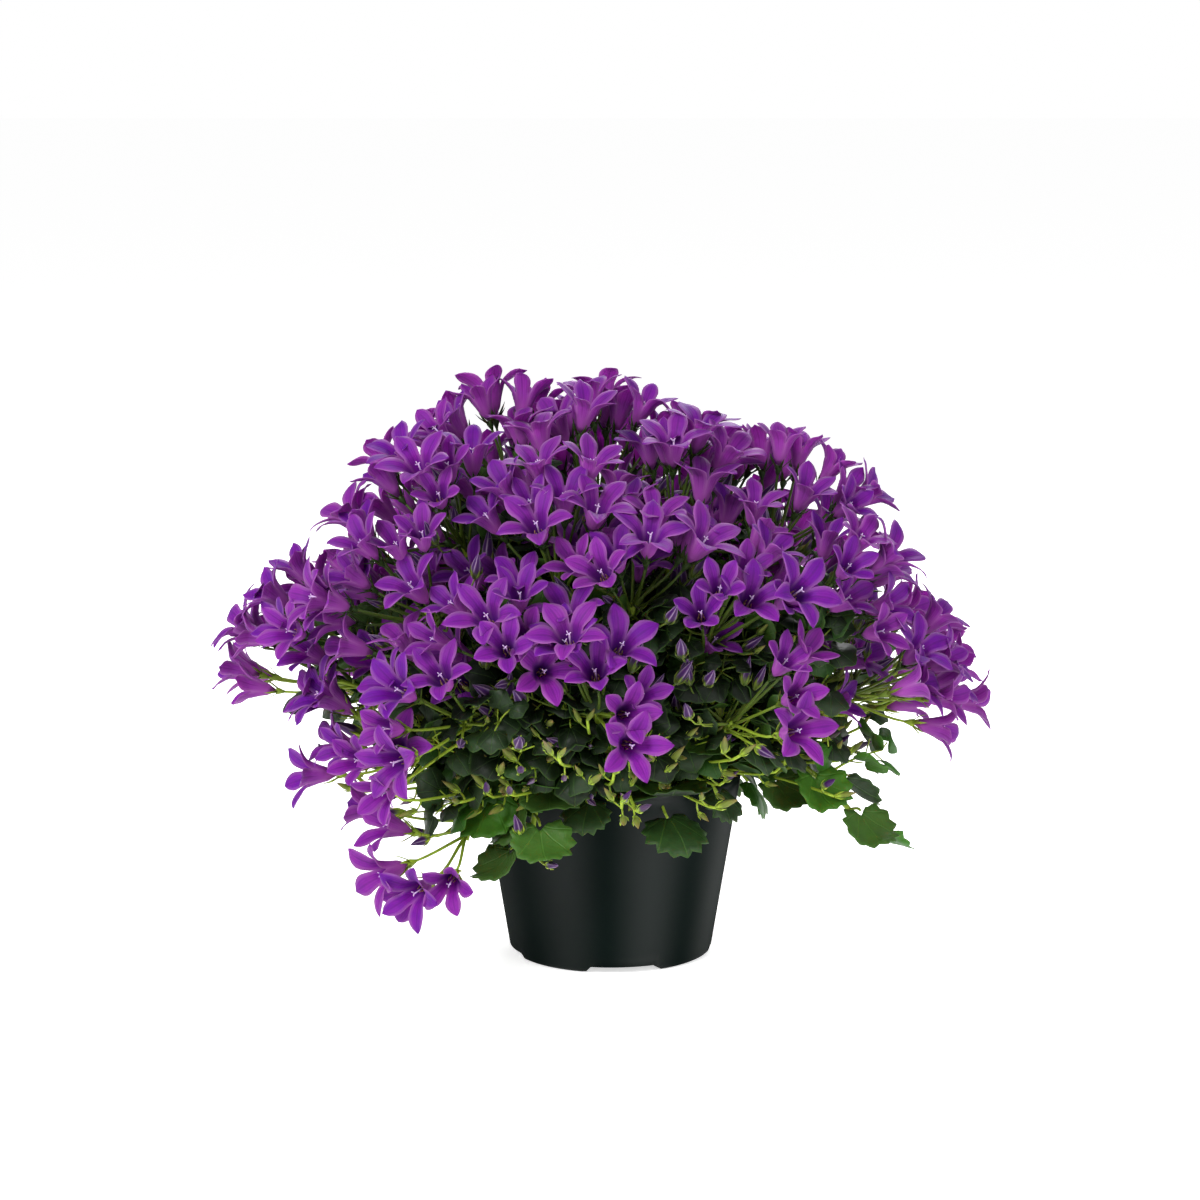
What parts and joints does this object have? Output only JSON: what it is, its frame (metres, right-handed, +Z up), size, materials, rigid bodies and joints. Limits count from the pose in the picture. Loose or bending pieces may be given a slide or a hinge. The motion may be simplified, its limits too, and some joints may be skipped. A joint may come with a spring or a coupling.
{
  "type": "potted bellflower",
  "caption": "Dome-shaped potted bellflower with violet bell blooms on leafy stems in a plain tapered nursery pot, for a windowsill, balcony or flower bed.",
  "frame": {"origin": "centre of the circle that the pot's four feet stand on, at floor level; the middle of the whole plant's box lies within 3 mm of it", "axes": "+Z up along the pot's axis; -Y towards the side that the plant is seen from; +X to that viewer's right"},
  "size_m": [0.3634, 0.2925, 0.2717],
  "materials": {
    "pot": "satin moulded polypropylene, anthracite with a green cast",
    "soil": "dry brown peat with fine fibres",
    "foliage": "soft leaf surface with a faint sheen, dark green blades and yellow-green stems",
    "petal": "thin matt petal with a soft bloom, violet, paler towards the edge"
  },
  "bodies": {
    "root": {"pot": "pot", "soil": "soil", "leafy_stem_01": "foliage", "blooms_01": "petal", "leafy_stem_02": "foliage", "blooms_02": "petal", "leafy_stem_03": "foliage", "blooms_03": "petal", "leafy_stem_04": "foliage", "blooms_04": "petal", "leafy_stem_05": "foliage", "blooms_05": "petal", "leafy_stem_06": "foliage", "blooms_06": "petal", "leafy_stem_07": "foliage", "blooms_07": "petal", "leafy_stem_08": "foliage", "blooms_08": "petal", "leafy_stem_09": "foliage", "blooms_09": "petal", "leafy_stem_10": "foliage", "blooms_10": "petal", "leafy_stem_11": "foliage", "blooms_11": "petal", "leafy_stem_12": "foliage", "blooms_12": "petal", "leafy_stem_13": "foliage", "blooms_13": "petal", "leafy_stem_14": "foliage", "blooms_14": "petal", "leafy_stem_15": "foliage", "blooms_15": "petal", "leafy_stem_16": "foliage", "blooms_16": "petal", "leafy_stem_17": "foliage", "blooms_17": "petal", "leafy_stem_18": "foliage", "blooms_18": "petal", "leafy_stem_19": "foliage", "blooms_19": "petal", "leafy_stem_20": "foliage", "blooms_20": "petal", "leafy_stem_21": "foliage", "blooms_21": "petal", "leafy_stem_22": "foliage", "blooms_22": "petal", "leafy_stem_23": "foliage", "blooms_23": "petal", "leafy_stem_24": "foliage", "blooms_24": "petal", "leafy_stem_25": "foliage", "blooms_25": "petal", "leafy_stem_26": "foliage", "blooms_26": "petal", "leafy_stem_27": "foliage", "blooms_27": "petal", "leafy_stem_28": "foliage", "blooms_28": "petal", "leafy_stem_29": "foliage", "leafy_stem_30": "foliage"}
  },
  "joints": []
}
